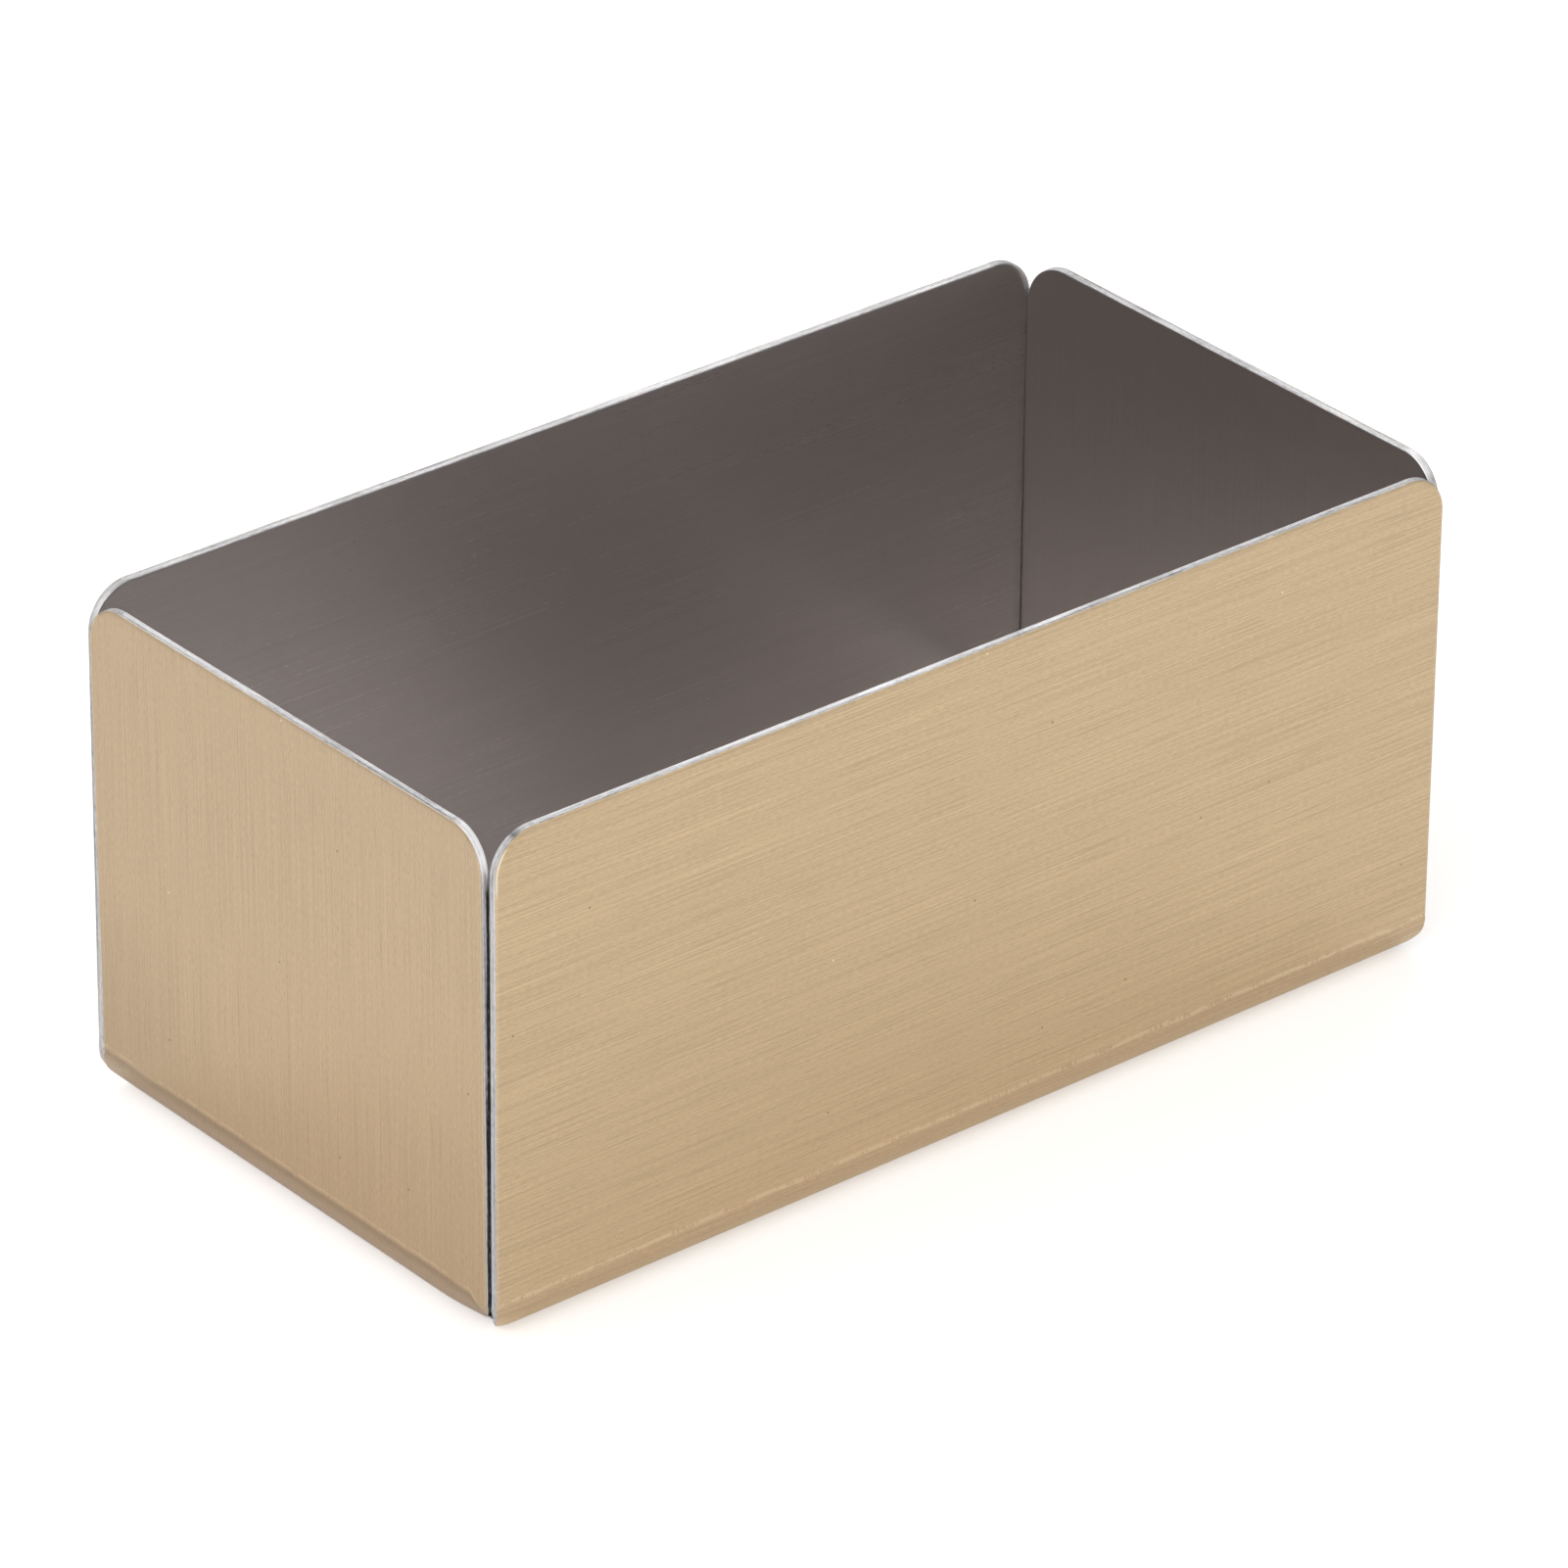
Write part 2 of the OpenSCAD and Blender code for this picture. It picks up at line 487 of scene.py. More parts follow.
# How far each upright edge stands from its drawn place, at its foot and at its top. The
# sheet was folded by hand, so no two of the four seams are alike.
seam_play = {
    ("front", -1): (0.15 * mm, -0.12 * mm),
    ("front", 1): (0, 0),
    ("back", -1): (0.15 * mm, 0.2 * mm),
    ("back", 1): (0.2 * mm, -0.06 * mm),
    ("left", -1): (-0.28 * mm, -0.02 * mm),
    ("left", 1): (0.2 * mm, 0.04 * mm),
    ("right", -1): (0, 0),
    ("right", 1): (0.22 * mm, 0.22 * mm),
}
# How far a bend's end reaches past its drawn mitre, and past the wall's foot above it
torn_out = {
    ("left", 1): (0.1 * mm, 0),
    ("left", -1): (0.1 * mm, 0.52 * mm),
}
# At the near corner the two ends are cut back square instead, as a share of how far the bend
# has turned in there. The bare steel at the foot of the left one still curls out.
cut_back = {("front", -1): 0.65, ("left", 1): 1.25}
curled_out = ("left", 1)
# The bends are filed softer towards the near corner, and the left one a little all along:
# how far in from the end the filing starts, how deep it is there, and how deep elsewhere
filed = {
    ("left", 1): (9 * mm, 0.5 * mm, 0.1 * mm),
    ("front", -1): (3.4 * mm, 0.62 * mm, 0),
}


def node_half_length(node, side):
    """Half the length of a node along its own side of the box."""
    low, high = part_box(node)
    along = sides[side][0]
    return abs((high - low).dot(along)) / 2


def up_side(side):
    along, reach, corner = sides[side]
    out = along.cross(Vector((0, 0, 1)))

    def filed_off(x, turn):
        """How far the face stands back: most halfway round, a little less at the very end."""
        depth = 0
        for (filed_side, end), (start, most, least) in filed.items():
            if filed_side == side:
                near = max(0, min(1, 1 - (corner - abs(x)) / start)) if x * end > 0 else 0
                depth = least + most * near * near * (3 - 2 * near) * (1 - 0.35 * near**6)
        return depth * math.sin(2 * turn)

    def round_bend(x, s, depth):
        turn = s / bend_radius
        arm = bend_radius - depth - filed_off(x, turn)
        level = out * (reach - bend_radius + arm * math.sin(turn))
        return along * x + level + Vector((0, 0, bend_radius - arm * math.cos(turn)))

    def up_wall(x, s, depth):
        return along * x + out * (reach - depth) + Vector((0, 0, bend_radius + s))

    return round_bend, up_wall


def patch(value, start, stop, soft):
    """1 between start and stop, falling off to 0 over a soft border."""
    return max(0, min(1, (value - start) / soft + 1, (stop - value) / soft + 1))


def bend_end(side, film=False):
    """Where each row of a bend stops, at its mitre or at the wall's foot."""
    corner = sides[side][2]
    half_wall = node_half_length(wall_nodes[side], side)

    def end_of(row, inset, depth, end):
        past_mitre, past_foot = torn_out.get((side, end), (0, 0))
        turn = row / bend_radius
        mitred = corner - mitre_set + past_mitre - bend_radius + (bend_radius - depth) * math.sin(turn)
        foot = half_wall + seam_play[side, end][0] + past_foot * min(1, 3 * (1 - row / bend_rise))
        if (side, end) not in cut_back:
            return min(foot, mitred) - inset, row, row
        most_filed = filed[side, end][1] * math.sin(2 * turn)
        turned_in = bend_radius - (bend_radius - most_filed) * math.sin(turn)
        square = max(corner - bend_radius, foot - cut_back[side, end] * turned_in)
        curl = patch(row / bend_rise, 0, 0.5, 0.06) if (side, end) == curled_out and not film else 0
        return square + (mitred - square) * curl - inset, row, row

    return end_of


def bend_tone(side):
    """The bend's cut ends are dull grey, with bright torn bits near the floor. At the near corner
    the left one is nearly black past its outer skin, a painted shade for the slit there.
    """
    seed = list(sides).index(side) * 11 + 3

    def tone_of(edge, run, inset, depth):
        if edge is None or depth in (0, film_depth, sheet_depth):
            return plain_tone
        torn = noise.noise(Vector((run / (0.7 * mm), depth / (0.3 * mm), seed)))
        # Painted shade: past its outer 0.2 mm the left bend's near end is nearly black, the slit at
        # the near corner.
        if (side, edge) == ("left", 1):
            return 0.6 if depth < 0.2 * mm else 0.03
        if (side, edge) == ("front", -1):
            return 0.6 + (0.15 if run > 0.5 * bend_rise else 0.4) * torn
        if (side, edge) in (("back", 1), ("back", -1)):
            return 0.68 + 0.2 * torn
        return 0.45 + 0.45 * torn

    return tone_of


def inner_steel(side):
    return bare_steel_end if side in end_sides else bare_steel


bend_stations = [bend_rise * step / bend_rows for step in range(bend_rows + 1)]
for side in sides:
    round_bend, _ = up_side(side)
    bend = folded_strip(
        side + "_bend_steel",
        bend_stations,
        even_stops(wall_columns),
        steel_rim,
        bend_end(side),
        round_bend,
        bend_tone(side),
        rise=bend_rise,
        grain_up=side in end_sides,
    )
    mounted(bend, side + "_bend", "bare_steel", inner_steel(side), cut_edge)

# The four walls stand up from the bends. Their top corners are rounded, and all their cut
# edges were dressed by hand, so the rims run from dull grey to bright from place to place.
# On top of that, painted shade and painted highlights are put into the rims' tone at the
# corners, the seams and the top edges.
corner_radius = 4.2 * mm
own_corner_radius = {
    ("front", 1): 4.3 * mm,
    ("left", -1): 4.6 * mm,
    ("back", -1): 4.5 * mm,
    ("back", 1): 4.5 * mm,
    ("right", 1): 5.5 * mm,
}
corner_steps = 14
side_steps = 44
# Nicks across the top edge of the front wall: place along it, and lean across the rim
nicks = ((-10.6 * mm, -0.5), (-9.9 * mm, -0.9), (4.5 * mm, 0.15))
nick_width = 0.09 * mm
nick_depth = 0.07 * mm


def wall_height(node):
    low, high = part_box(node)
    return high.z - low.z


def wall_stations():
    """Rows of a wall, as share of its straight edge and turn round its top corner."""
    rows = [(step / side_steps, 0) for step in range(side_steps)]
    for step in range(corner_steps + 1):
        rows.append((1, math.pi / 2 * step / corner_steps))
    return rows


def wall_end(side):
    half_wall = node_half_length(wall_nodes[side], side)
    height = wall_height(wall_nodes[side])
    seed = list(sides).index(side) * 5 + 1

    def end_of(row, inset, depth, end):
        share, turn = row
        radius = own_corner_radius.get((side, end), corner_radius)
        level = (height - radius) * share
        run = level + radius * turn
        foot_play, top_play = seam_play[side, end]
        play = foot_play + (top_play - foot_play) * level / height
        arm = radius - inset - (1 + edge_wobble(run, seed + end)) * inset_play(inset)
        x = half_wall + play - radius + arm * math.cos(turn)
        return x, level + arm * math.sin(turn), run

    return end_of


def wall_stops(side):
    """Even places across a wall, with the nicks of the front wall let in between them."""
    half_wall = node_half_length(wall_nodes[side], side)
    stops = even_stops(wall_columns)
    if side != "front":
        return stops
    for place, lean in nicks:
        for step, dip in ((-1, 0), (0, nick_depth), (1, 0)):
            share = (place + step * nick_width + half_wall) / (2 * half_wall)
            stops = [stop for stop in stops if abs(stop[0] - share) > 0.003 or stop[1:] != (0, 0)]
            stops.append((share, dip, lean))
    return sorted(stops)


corner_run = corner_radius * math.pi / 2


def wall_tone(side):
    """How bright each place of a wall's rim is, from 0, nearly black, to 1, freshly dressed. Beside
    the random dressing, it holds painted shade and painted highlights at corners, seams and top.
    """
    seed = list(sides).index(side) * 7 + 2
    straight = wall_height(wall_nodes[side]) - corner_radius

    def upright_rim(end, run, share, torn):
        up = run / straight
        if (side, end) == ("left", 1):
            # At the near corner: past the lip the end face is painted nearly black, a painted shade
            # for the slit between the walls, with a darker line nearer the outer face.
            lip = 0.22 + 0.44 * up
            shade = 0.62 + 0.1 * torn - 0.16 * patch(share, 0.22, 0.36, 0.06) * min(1, 2 * up)
            return shade * (1 - patch(share, lip, 2, 0.06)) + 0.02
        if (side, end) == ("front", -1):
            # Painted light: brighter low down across the inner part of the end face, and a painted
            # shade on its innermost edge beside the other wall.
            painted_light = 0.2 * (1 - up) * patch(share, 0.68, 0.8, 0.08) - 0.35 * patch(share, 0.92, 1, 0.12)
            return 0.56 + 0.24 * up + 0.1 * torn + painted_light
        if (side, end) == ("back", 1):
            return 0.6 + 0.12 * torn
        return 0.45 + 0.12 * torn

    def tone_of(edge, run, inset, depth):
        if edge is None:
            return plain_tone
        if depth == sheet_depth and inset > 0.09 * mm:
            # Painted shade on the back wall's inner face beside the far seam, fading up the wall.
            seam_shade = (side, edge) == ("back", -1) and inset > 0.3 * mm
            return plain_tone - (0.12 * max(0, 1 - 0.8 * run / straight) if seam_shade else 0)
        # Along the far seam both edges keep one even, lighter tone: painted light that softens the
        # seam's dark line.
        if (side, edge) in (("back", -1), ("right", 1)) and run < straight:
            return 0.52
        if depth <= film_depth + 0.001 * mm:
            return plain_tone
        share = depth / sheet_depth
        place = run / (4 * mm)
        slow = noise.noise(Vector((place, share * 1.5, seed + 0.5)))
        torn = noise.noise(Vector((run / (0.9 * mm), share * 6, seed + 3.5)))
        if edge == 0:
            # Top rim: a painted highlight on the inner arris, strongest on the two near walls, and on
            # those a darker line nearer the outer face.
            near = side in ("front", "left")
            inner_highlight = (0.16 if near else 0.04) * patch(share, 0.86, 1, 0.06)
            darker_line = (0.24 if near else 0) * patch(share, 0.16, 0.34, 0.08)
            darker_line *= patch(slow, 0, 1, 0.15)
            plain = 0.5 if side == "right" else 0.6
            return plain + 0.2 * slow + 0.09 * torn + inner_highlight - darker_line
        turned = patch(run, straight, straight + corner_run, 1.5 * mm)
        up = upright_rim(edge, run, share, torn)
        over = 0.62 + 0.2 * slow + 0.12 * torn
        if (side, edge) == ("left", 1):
            # Painted highlight: a bright facet on the arc of the near corner.
            facet_highlight = patch(run, straight + 0.15 * corner_run, straight + 0.75 * corner_run, 1.2 * mm)
            over += 0.35 * facet_highlight
        if (side, edge) == ("front", -1):
            # Painted dark reflection: a dark spot on the arc of the near corner, and the first part of
            # the arc a little darker.
            dark_reflection_spot = (straight + 0.72 * corner_run, straight + 0.76 * corner_run)
            over -= 0.38 * patch(run, *dark_reflection_spot, 0.3 * mm)
            over -= 0.06 * patch(run, straight, straight + 0.6 * corner_run, 0.5 * mm)
        if side == "right" and edge == -1:
            # Painted highlight on the arc of the right wall's front corner.
            over += 0.3 * patch(run, straight + 0.5 * corner_run, straight + 0.8 * corner_run, 1 * mm)
        return up * (1 - turned) + over * turned

    return tone_of


for side in sides:
    _, up_wall = up_side(side)
    wall = folded_strip(
        wall_nodes[side] + "_steel",
        wall_stations(),
        wall_stops(side),
        steel_rim,
        wall_end(side),
        up_wall,
        wall_tone(side),
        grain_up=side in end_sides,
        topped=True,
    )
    mounted(wall, wall_nodes[side], "bare_steel", inner_steel(side), cut_edge)

# The coloured layer is a thin champagne film on the brushed outside of the sheet. It was
# there before the folding, and the shears have rolled it over at the cut edges. Along the bends
# it is drawn darker, a painted shade, under a fine bright line that is partly the die's mark
# and partly a painted highlight, with a painted sheen low on the long sides' bends.
film_rim = [
    (1.2 * mm, 0),
    (0.8 * mm, 0),
    (0.55 * mm, 0),
    (0.38 * mm, 0),
    (0.26 * mm, 0.001 * mm),
    (0.17 * mm, 0.005 * mm),
    (0.1 * mm, 0.015 * mm),
    (0.06 * mm, 0.03 * mm),
    (0.04 * mm, 0.045 * mm),
    (0.04 * mm, film_depth + 0.035 * mm),
    (0.1 * mm, film_depth + 0.008 * mm),
    (0.2 * mm, film_depth),
    (1.2 * mm, film_depth - 0.001 * mm),
]


def press_mark_and_shade_group():
    """What the press did to the colour, and the light and shade painted into it: a painted shade
    below a wavy border, with a bright line on it that is partly the die's mark and partly a
    painted highlight, a darker band just under it, a painted shade towards the foot of the wall
    and one end, and a painted sheen low on the bend.

    Each pair of heights is where a mark starts and where it is full, measured from the border,
    or for sheen_foot from the foot of the wall. Corner_drop and low_shade_across are measured
    along the side, from its middle.
    """
    marks = {
        "Border": 0.2 * mm,
        "Waviness": 0.2 * mm,
        "Softness": 0.1 * mm,
        "Line": 0.15,
        "Line width": 0.18 * mm,
        "Corner drop": 0.0,
        "Dark under border": 0.0,
        "Painted low shade": 0.0,
        "Painted sheen": 0.0,
    }
    corner_drop = (26.6 * mm, 29.2 * mm)
    dark_under_top = (0.05 * mm, -0.28 * mm)
    dark_under_foot = (-1.5 * mm, -0.25 * mm)
    low_shade_across = (-6 * mm, -27 * mm)
    low_shade_height = 22 * mm
    sheen_top = (-0.8 * mm, -3.8 * mm)
    sheen_foot = (-6.2 * mm, -4.6 * mm)
    unbroken_from = (0.67, 0.84)
    highlight_colour = (0.96, 0.785, 0.535)
    group, nodes, links, start, stop = shader_group(
        "press_mark_and_shade", ("Color", "Painted bend shade"), marks, "Color"
    )
    place = nodes.new("ShaderNodeUVMap")
    place.uv_map = "sheet"
    parts = nodes.new("ShaderNodeSeparateXYZ")
    links.new(place.outputs["UV"], parts.inputs[0])
    wave = drawn_noise(nodes, links, place.outputs["UV"], 6 * mm, 60 * mm, 2)
    wave = worked(nodes, links, "SUBTRACT", wave, 0.5)
    wave = worked(nodes, links, "MULTIPLY", wave, start.outputs["Waviness"])
    drop = ramped(nodes, links, parts.outputs["X"], *corner_drop)
    drop = worked(nodes, links, "MULTIPLY", drop, start.outputs["Corner drop"])
    border = worked(nodes, links, "SUBTRACT", start.outputs["Border"], drop)
    above = worked(nodes, links, "SUBTRACT", parts.outputs["Y"], border)
    above = worked(nodes, links, "SUBTRACT", above, wave)
    soft = start.outputs["Softness"]
    below_border = ramped(nodes, links, above, soft, worked(nodes, links, "MULTIPLY", soft, -1))
    plain, bend_shade_tint = start.outputs["Color"], start.outputs["Painted bend shade"]
    # Painted shade: below the border the colour is multiplied by the bend shade.
    bend_shaded = colour_mix(nodes, links, below_border, plain, bend_shade_tint, "MULTIPLY")
    # The bright line on the border: partly the die's mark, partly a painted highlight.
    off_line = worked(nodes, links, "SUBTRACT", above, worked(nodes, links, "MULTIPLY", soft, 1.6))
    off_line = worked(nodes, links, "ABSOLUTE", off_line, 0)
    on_line = ramped(nodes, links, off_line, start.outputs["Line width"], 0.02 * mm)
    broken = drawn_noise(nodes, links, place.outputs["UV"], 2.6 * mm, 1 * mm, 3)
    ticks = drawn_noise(nodes, links, place.outputs["UV"], 0.3 * mm, 1.2 * mm, 1)
    kept = worked(nodes, links, "ADD", worked(nodes, links, "MULTIPLY", ticks, 0.6), broken)
    kept = ramped(nodes, links, kept, *unbroken_from)
    line = worked(nodes, links, "MULTIPLY", on_line, kept)
    line = worked(nodes, links, "MULTIPLY", line, start.outputs["Line"])
    # Darker just under the border.
    dark_under_border = ramped(nodes, links, above, *dark_under_top)
    for factor in (ramped(nodes, links, above, *dark_under_foot), start.outputs["Dark under border"]):
        dark_under_border = worked(nodes, links, "MULTIPLY", dark_under_border, factor)
    # Painted shade: the wall darker towards its foot, and more so towards one end.
    above_border = worked(nodes, links, "SUBTRACT", 1, below_border)
    to_left = ramped(nodes, links, parts.outputs["X"], *low_shade_across)
    to_left = worked(nodes, links, "ADD", to_left, 1)
    painted_low_shade = ramped(nodes, links, above, low_shade_height, 0)
    for factor in (above_border, to_left, start.outputs["Painted low shade"]):
        painted_low_shade = worked(nodes, links, "MULTIPLY", painted_low_shade, factor)
    # Painted sheen low on the bend, fading off where the bend meets the floor.
    painted_sheen = ramped(nodes, links, above, *sheen_top)
    kept_clear = ramped(nodes, links, parts.outputs["Y"], *sheen_foot)
    for factor in (kept_clear, start.outputs["Painted sheen"]):
        painted_sheen = worked(nodes, links, "MULTIPLY", painted_sheen, factor)
    gain = worked(nodes, links, "SUBTRACT", 1, worked(nodes, links, "ADD", dark_under_border, painted_low_shade))
    darker = scaled_colour(nodes, links, bend_shaded, gain)
    highlit = worked(nodes, links, "MAXIMUM", line, painted_sheen)
    links.new(colour_mix(nodes, links, highlit, darker, highlight_colour), stop.inputs["Color"])
    return group


def speck_group():
    """Pinprick pits and flecks, scattered far apart over the sheet."""
    spacing = 9 * mm
    speck_size = 0.17 * mm / spacing
    pits_above, flecks_below = 0.86, 0.07
    group, nodes, links, start, stop = shader_group(
        "specks", ("Color",), {"Pits": 0.5, "Flecks": 0.5}, "Color"
    )
    place = nodes.new("ShaderNodeUVMap")
    place.uv_map = "sheet"
    cells = nodes.new("ShaderNodeTexVoronoi")
    cells.voronoi_dimensions = "2D"
    cells.inputs["Scale"].default_value = 1 / spacing
    links.new(place.outputs["UV"], cells.inputs["Vector"])
    dark_reflection_spot = ramped(nodes, links, cells.outputs["Distance"], speck_size, speck_size * 0.3)
    chance = nodes.new("ShaderNodeSeparateColor")
    links.new(cells.outputs["Color"], chance.inputs[0])
    pit = worked(nodes, links, "GREATER_THAN", chance.outputs["Red"], pits_above)
    fleck = worked(nodes, links, "LESS_THAN", chance.outputs["Red"], flecks_below)
    darker = worked(nodes, links, "MULTIPLY", pit, start.outputs["Pits"])
    lighter = worked(nodes, links, "MULTIPLY", fleck, start.outputs["Flecks"])
    swing = worked(nodes, links, "SUBTRACT", lighter, darker)
    gain = worked(nodes, links, "ADD", worked(nodes, links, "MULTIPLY", swing, dark_reflection_spot), 1)
    links.new(scaled_colour(nodes, links, start.outputs["Color"], gain), stop.inputs["Color"])
    return group


press_mark_and_shade = press_mark_and_shade_group()
specks = speck_group()


def champagne_finish(name, dark, light, shares, bend_shade_colour, marks):
    """The champagne film, with its press mark, painted shade and painted sheen, and specks laid over
    the grain.
    """
    material = grained_metal(name, dark, light, 0.34, 0.05, 0.003 * mm, shares, 0.5)
    nodes, links = material.node_tree.nodes, material.node_tree.links
    shader = nodes["Principled BSDF"]
    marked = nodes.new("ShaderNodeGroup")
    marked.node_tree = press_mark_and_shade
    marked.inputs["Painted bend shade"].default_value = (*bend_shade_colour, 1)
    for mark, value in marks.items():
        marked.inputs[mark].default_value = value
    flecked = nodes.new("ShaderNodeGroup")
    flecked.node_tree = specks
    links.new(nodes["toned_edges"].outputs["Color"], marked.inputs["Color"])
    links.new(marked.outputs["Color"], flecked.inputs["Color"])
    links.new(flecked.outputs["Color"], shader.inputs["Base Color"])
    return material


# The long and short sides are one film, drawn lighter here and darker on the short sides: painted
# light and shade. The long sides' bends are a touch darker, a painted shade, with a painted sheen low
# on them.
long_side = champagne_finish(
    "champagne_long_side",
    (0.63, 0.478, 0.302),
    (0.815, 0.618, 0.392),
    (0.8, 1.25, 0.5, 0.2, 1.1),
    (0.985, 0.975, 1.0),
    {
        "Border": 0.12 * mm,
        "Waviness": 0.5 * mm,
        "Line": 0.55,
        "Line width": 0.38 * mm,
        "Painted sheen": 0.7,
    },
)
# The short sides: their bends are painted much darker, and their walls darker towards the foot and one
# end, both painted shade.
short_side = champagne_finish(
    "champagne_short_side",
    (0.60, 0.453, 0.297),
    (0.776, 0.586, 0.385),
    (0.25, 0.85, 0.3, 0.05, 1.0),
    (0.81, 0.81, 0.86),
    {
        "Border": 0.55 * mm,
        "Waviness": 0.45 * mm,
        "Softness": 0.2 * mm,
        "Line": 0.3,
        "Corner drop": 2.2 * mm,
        "Dark under border": 0.2,
        "Painted low shade": 0.075,
    },
)


def film_tone(side):
    """The film is painted darker along the top rim, a painted dark reflection, and has a painted
    highlight down the upright edges and round the front wall's near corner, with a thin darker
    line at the very edge.
    """
    seed = list(sides).index(side) * 3 + 1
    straight = wall_height(wall_nodes[side]) - corner_radius

    def tone_of(edge, run, inset, depth):
        if edge is None or inset > 1 * mm:
            return plain_tone
        torn = noise.noise(Vector((run / (1.6 * mm), inset / (0.3 * mm), seed)))
        # Painted dark reflection along the top rim; a painted highlight a little in from the upright
        # edges, with a darker line right at the edge.
        top_dark_reflection = -0.34 * math.exp(-inset / (0.24 * mm)) * (1 + 0.5 * torn)
        glint_and_edge_line = 0.24 * math.exp(-(((inset - 0.15 * mm) / (0.08 * mm)) ** 2))
        glint_and_edge_line -= 0.25 * math.exp(-inset / (0.04 * mm))
        top = 1 if edge == 0 else patch(run, straight + 0.55 * corner_run, 1, 1.5 * mm)
        if (side, edge) == ("front", -1):
            # A painted highlight round the arc of the front wall's near corner.
            arc = patch(run, straight - 1 * mm, straight + 0.7 * corner_run, 1 * mm)
            glint_and_edge_line += 0.9 * arc * math.exp(-(((inset - 0.16 * mm) / (0.1 * mm)) ** 2))
        return plain_tone + top_dark_reflection * top + glint_and_edge_line * (1 - top)

    return tone_of


floor_film = folded_strip(
    "floor_champagne",
    floor_rows,
    even_stops(floor_columns),
    [(0, 0), (0, film_depth - 0.001 * mm)],
    floor_end,
    flat_on_floor,
    even_tone,
    rise=floor_reach + bend_rise,
    film=True,
)
mounted(floor_film, "floor_coloured_layer", "champagne_finish", long_side, long_side)
for side in sides:
    round_bend, up_wall = up_side(side)
    finish = short_side if side in end_sides else long_side
    bend = folded_strip(
        side + "_bend_champagne",
        bend_stations,
        even_stops(wall_columns),
        film_rim,
        bend_end(side, film=True),
        round_bend,
        even_tone,
        rise=bend_rise,
        grain_up=side in end_sides,
        film=True,
    )
    mounted(bend, side + "_bend_coloured_layer", "champagne_bend_finish", finish, finish)
    wall = folded_strip(
        wall_nodes[side] + "_champagne",
        wall_stations(),
        wall_stops(side),
        film_rim,
        wall_end(side),
        up_wall,
        film_tone(side),
        grain_up=side in end_sides,
        topped=True,
        film=True,
    )
    mounted(wall, wall_nodes[side] + "_coloured_layer", "champagne_finish", finish, finish)

# The table top is a plain white sheet that shows the box's soft shadow. Seen directly it is
# lifted to white, without any more light on the box.
table_radius = 3.0
table_colour = 0.8
table_lift = 0.41
table_mesh = bmesh.new()
bmesh.ops.create_circle(table_mesh, cap_ends=True, radius=table_radius, segments=96)
table_data = bpy.data.meshes.new("table_top")
table_mesh.to_mesh(table_data)
table_mesh.free()
table_top = bpy.data.objects.new("table_top", table_data)
bpy.context.scene.collection.objects.link(table_top)


def table_material():
    material = bpy.data.materials.new("white_table")
    material.use_nodes = True
    nodes, links = material.node_tree.nodes, material.node_tree.links
    nodes.remove(nodes["Principled BSDF"])
    matt = nodes.new("ShaderNodeBsdfDiffuse")
    matt.inputs["Color"].default_value = (table_colour, table_colour, table_colour, 1)
    path = nodes.new("ShaderNodeLightPath")
    lift = worked(nodes, links, "MULTIPLY", path.outputs["Is Camera Ray"], table_lift)
    glow = nodes.new("ShaderNodeEmission")
    links.new(lift, glow.inputs["Strength"])
    both = nodes.new("ShaderNodeAddShader")
    links.new(matt.outputs[0], both.inputs[0])
    links.new(glow.outputs[0], both.inputs[1])
    links.new(both.outputs[0], nodes["Material Output"].inputs["Surface"])
    return material


table_data.materials.append(table_material())

# The room is white, lighter on the left than on the right, and plain white where it is seen.
# One broad soft lamp stands on the left, a smaller one behind, and a low white card in front.
room_left = 1.15
room_right = 0.4
world = bpy.data.worlds.new("white_room")
bpy.context.scene.world = world
world.use_nodes = True
room_nodes, room_links = world.node_tree.nodes, world.node_tree.links
facing = room_nodes.new("ShaderNodeTexCoord")
facing_parts = room_nodes.new("ShaderNodeSeparateXYZ")
room_links.new(facing.outputs["Generated"], facing_parts.inputs[0])
room_fade = room_nodes.new("ShaderNodeMapRange")
room_fade.inputs["From Min"].default_value = -1
room_fade.inputs["To Min"].default_value = room_left
room_fade.inputs["To Max"].default_value = room_right
room_links.new(facing_parts.outputs["X"], room_fade.inputs["Value"])
seen_path = room_nodes.new("ShaderNodeLightPath")
room_strength = room_nodes.new("ShaderNodeMix")
room_strength.inputs["B"].default_value = 1.0
room_links.new(seen_path.outputs["Is Camera Ray"], room_strength.inputs["Factor"])
room_links.new(room_fade.outputs["Result"], room_strength.inputs["A"])
backdrop = room_nodes["Background"]
backdrop.inputs["Color"].default_value = (1, 1, 1, 1)
room_links.new(room_strength.outputs["Result"], backdrop.inputs["Strength"])
lamp_distance = 1.6


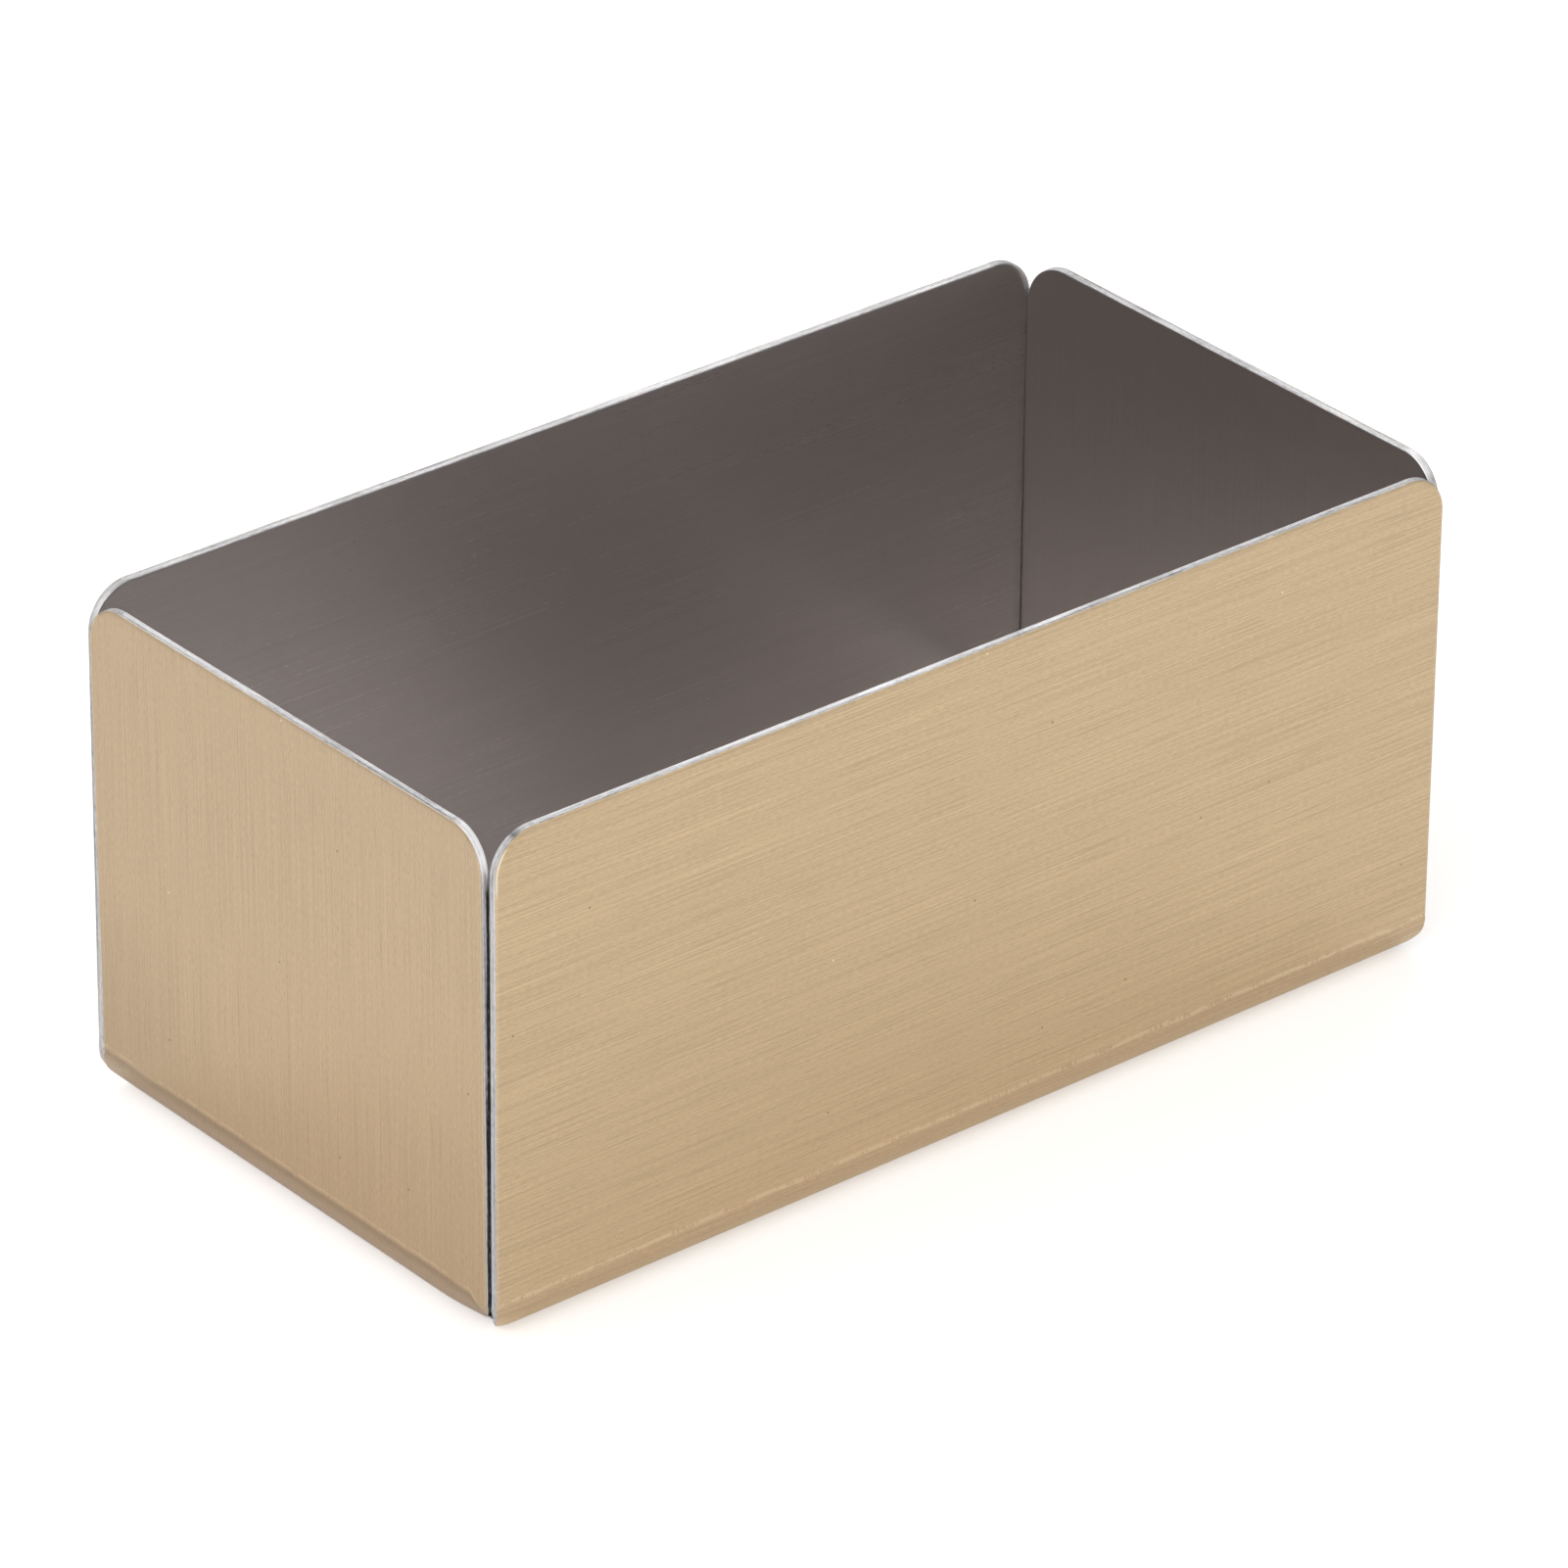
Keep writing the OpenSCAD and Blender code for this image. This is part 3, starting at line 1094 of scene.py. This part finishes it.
def soft_lamp(name, azimuth, elevation, width, height, power):
    """A broad lamp that faces the box. Azimuth 0 is the box's right, 90 its back."""
    lamp = bpy.data.lights.new(name, "AREA")
    lamp.shape = "RECTANGLE"
    lamp.size = width
    lamp.size_y = height
    lamp.energy = power
    stand = bpy.data.objects.new(name, lamp)
    turn, rise = math.radians(azimuth), math.radians(elevation)
    place = Vector((math.cos(turn) * math.cos(rise), math.sin(turn) * math.cos(rise), math.sin(rise)))
    stand.location = place * lamp_distance
    stand.rotation_mode = "QUATERNION"
    stand.rotation_quaternion = (-place).to_track_quat("-Z", "Y")
    bpy.context.scene.collection.objects.link(stand)


soft_lamp("left_lamp", 195, 35, 1.5, 1.0, 7)
soft_lamp("back_lamp", 44, 44, 0.8, 0.6, 4.5)
soft_lamp("front_card", 278, 9, 2.2, 0.55, 4.6)

# The camera stands where the photograph was taken from: in front, to the left and above,
# far off with a long lens.
camera_azimuth = math.radians(-39.76)
camera_elevation = math.radians(28.98)
camera_roll = math.radians(0.395)
camera_distance = 932.8 * mm
camera_aside = 1.113 * mm
camera_down = 0.812 * mm
camera_lens = 228.5
camera_sensor = 36
back = Vector(
    (
        math.sin(camera_azimuth) * math.cos(camera_elevation),
        -math.cos(camera_azimuth) * math.cos(camera_elevation),
        math.sin(camera_elevation),
    )
)
level = Vector((math.cos(camera_azimuth), math.sin(camera_azimuth), 0))
upright = back.cross(level)
right = level * math.cos(camera_roll) + upright * math.sin(camera_roll)
up = upright * math.cos(camera_roll) - level * math.sin(camera_roll)
middle = (box_low + box_high) / 2
stand_at = middle + back * camera_distance + right * camera_aside - up * camera_down
camera_data = bpy.data.cameras.new("photo_camera")
camera_data.lens = camera_lens
camera_data.sensor_width = camera_sensor
camera = bpy.data.objects.new("photo_camera", camera_data)
camera.matrix_world = Matrix.Translation(stand_at) @ Matrix((right, up, back)).transposed().to_4x4()
bpy.context.scene.collection.objects.link(camera)
bpy.context.scene.camera = camera
bpy.context.scene.view_settings.view_transform = "Standard"
